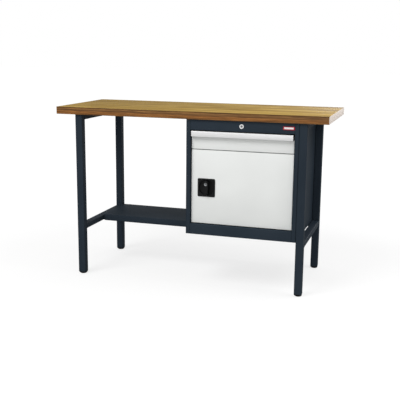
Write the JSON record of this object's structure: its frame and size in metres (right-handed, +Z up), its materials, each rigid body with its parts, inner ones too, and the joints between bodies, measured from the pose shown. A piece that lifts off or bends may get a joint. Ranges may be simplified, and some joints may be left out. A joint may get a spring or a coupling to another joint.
{
  "type": "workbench with drawer cabinet",
  "caption": "Workbench with a beech multiplex top on a square-tube steel frame, a hanging cabinet with drawer and door, and a half-depth shelf.",
  "frame": {"origin": "on the floor under the middle of the top", "axes": "+X along the bench to the right, +Y to the back, +Z up; the drawer and the door face -Y"},
  "size_m": [1.5, 0.6, 0.95],
  "materials": {
    "beech_multiplex": "oiled beech face veneer, plies bare on the edges",
    "anthracite_coat": "anthracite fine-texture powder coat",
    "light_grey_coat": "light grey semi-gloss powder coat",
    "anodised_grip": "natural anodised extrusion",
    "black_plastic": "moulded black polyamide",
    "zinc_steel": "zinc-plated steel",
    "chrome_trim": "polished chrome plate",
    "red_badge": "plain red enamel plate without lettering"
  },
  "bodies": {
    "bench": {"worktop": "beech_multiplex", "leg_front_left": "anthracite_coat", "leg_front_right": "anthracite_coat", "leg_rear_left": "anthracite_coat", "leg_rear_right": "anthracite_coat", "rail_upper_left": "anthracite_coat", "rail_upper_right": "anthracite_coat", "rail_lower_left": "anthracite_coat", "rail_lower_right": "anthracite_coat", "rear_beam": "anthracite_coat", "feet": "black_plastic", "worktop_screws": "zinc_steel", "shelf": "anthracite_coat", "shelf_screws": "zinc_steel", "cabinet_side_left": "anthracite_coat", "cabinet_side_right": "anthracite_coat", "cabinet_post_left": "anthracite_coat", "cabinet_post_right": "anthracite_coat", "cabinet_back": "anthracite_coat", "cabinet_header": "anthracite_coat", "cabinet_roof": "anthracite_coat", "cabinet_floor": "anthracite_coat", "cabinet_divider": "anthracite_coat", "cabinet_spacers": "black_plastic", "cabinet_bolts": "zinc_steel", "cabinet_roof_screws": "zinc_steel", "badge_plate": "red_badge", "inside_shelf": "anthracite_coat", "inside_shelf_clips": "zinc_steel", "runner_bracket_left": "zinc_steel", "runner_bracket_right": "zinc_steel", "runner_outer_left": "zinc_steel", "runner_outer_right": "zinc_steel", "hinge_strap_upper": "zinc_steel", "hinge_strap_lower": "zinc_steel", "hinge_pins": "zinc_steel", "header_lock_housing": "chrome_trim"},
    "drawer": {"drawer_front": "light_grey_coat", "drawer_grip": "anodised_grip", "drawer_grip_caps": "black_plastic", "drawer_tray_front": "light_grey_coat", "drawer_side_left": "light_grey_coat", "drawer_side_right": "light_grey_coat", "drawer_rear": "light_grey_coat", "drawer_floor": "light_grey_coat", "drawer_catch": "zinc_steel", "drawer_screws": "zinc_steel", "runner_inner_left": "zinc_steel", "runner_inner_right": "zinc_steel"},
    "runner_left": {"runner_middle_left": "zinc_steel"},
    "runner_right": {"runner_middle_right": "zinc_steel"},
    "door": {"door_panel": "light_grey_coat", "door_handle_housing": "black_plastic", "hinge_leaf_upper": "zinc_steel", "hinge_leaf_lower": "zinc_steel"},
    "door_handle": {"door_grip": "black_plastic", "door_tongue": "zinc_steel"},
    "door_lock": {"door_lock_core": "chrome_trim"},
    "header_lock": {"header_lock_core": "chrome_trim", "header_lock_cam": "zinc_steel"}
  },
  "joints": [
    {"name": "drawer_slide", "type": "slide", "parent": "bench", "child": "drawer", "axis": [0, -1, 0], "range_m": [0, 0.45]},
    {"name": "runner_left_slide", "type": "slide", "parent": "bench", "child": "runner_left", "axis": [0, -1, 0], "range_m": [0, 0.225]},
    {"name": "runner_right_slide", "type": "slide", "parent": "bench", "child": "runner_right", "axis": [0, -1, 0], "range_m": [0, 0.225]},
    {"name": "door_swing", "type": "hinge", "parent": "bench", "child": "door", "pos_m": [0.569, -0.2675, 0.55], "axis": [0, 0, 1], "range_deg": [0, 95]},
    {"name": "door_handle_turn", "type": "hinge", "parent": "door", "child": "door_handle", "pos_m": [0.112, -0.27, 0.5475], "axis": [0, 1, 0], "range_deg": [0, 90]},
    {"name": "door_lock_turn", "type": "hinge", "parent": "door_handle", "child": "door_lock", "pos_m": [0.112, -0.28, 0.567], "axis": [0, 1, 0], "range_deg": [0, 90]},
    {"name": "header_lock_turn", "type": "hinge", "parent": "bench", "child": "header_lock", "pos_m": [0.302, -0.27, 0.882], "axis": [0, 1, 0], "range_deg": [0, 90]}
  ],
  "couplings": [
    {"joint": "runner_left_slide", "follows": "drawer_slide", "ratio": 0.5},
    {"joint": "runner_right_slide", "follows": "drawer_slide", "ratio": 0.5}
  ]
}
